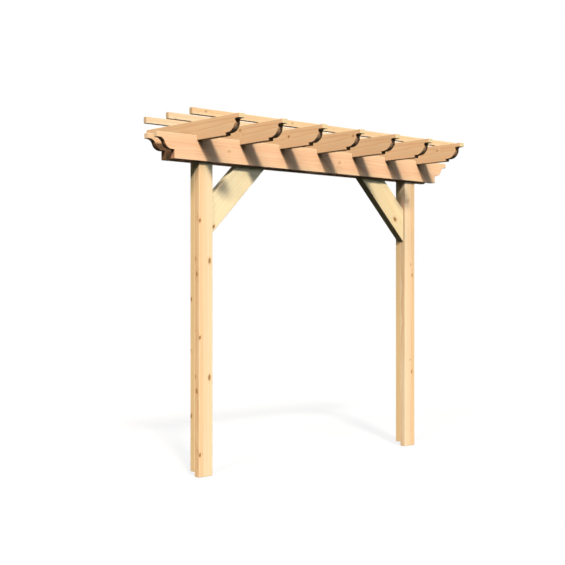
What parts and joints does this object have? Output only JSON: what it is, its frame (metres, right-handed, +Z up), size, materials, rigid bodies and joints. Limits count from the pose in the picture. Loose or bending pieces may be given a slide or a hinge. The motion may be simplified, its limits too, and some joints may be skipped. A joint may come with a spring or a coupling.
{
  "type": "wooden pergola",
  "caption": "Walk-through garden pergola of planed softwood: posts, a pair of beams with ogee ends, corner braces, notched ogee-ended rafters and battens on top.",
  "frame": {"origin": "middle of the left post's foot, on the ground, under its front board", "axes": "+X along the beams from the left post to the right post, +Y from front to rear, +Z up"},
  "size_m": [2.75, 1, 2.328],
  "materials": {
    "post_wood": "planed, untreated",
    "beam_wood": "planed, untreated",
    "brace_wood": "planed, untreated",
    "rafter_wood": "planed, untreated",
    "batten_wood": "planed, untreated"
  },
  "bodies": {
    "root": {"left_post_front_board": "post_wood", "left_post_rear_board": "post_wood", "right_post_front_board": "post_wood", "right_post_rear_board": "post_wood", "front_beam": "beam_wood", "rear_beam": "beam_wood", "left_brace": "brace_wood", "right_brace": "brace_wood", "rafter_1": "rafter_wood", "rafter_2": "rafter_wood", "rafter_3": "rafter_wood", "rafter_4": "rafter_wood", "rafter_5": "rafter_wood", "rafter_6": "rafter_wood", "rafter_7": "rafter_wood", "front_batten": "batten_wood", "middle_batten": "batten_wood", "rear_batten": "batten_wood"}
  },
  "joints": []
}
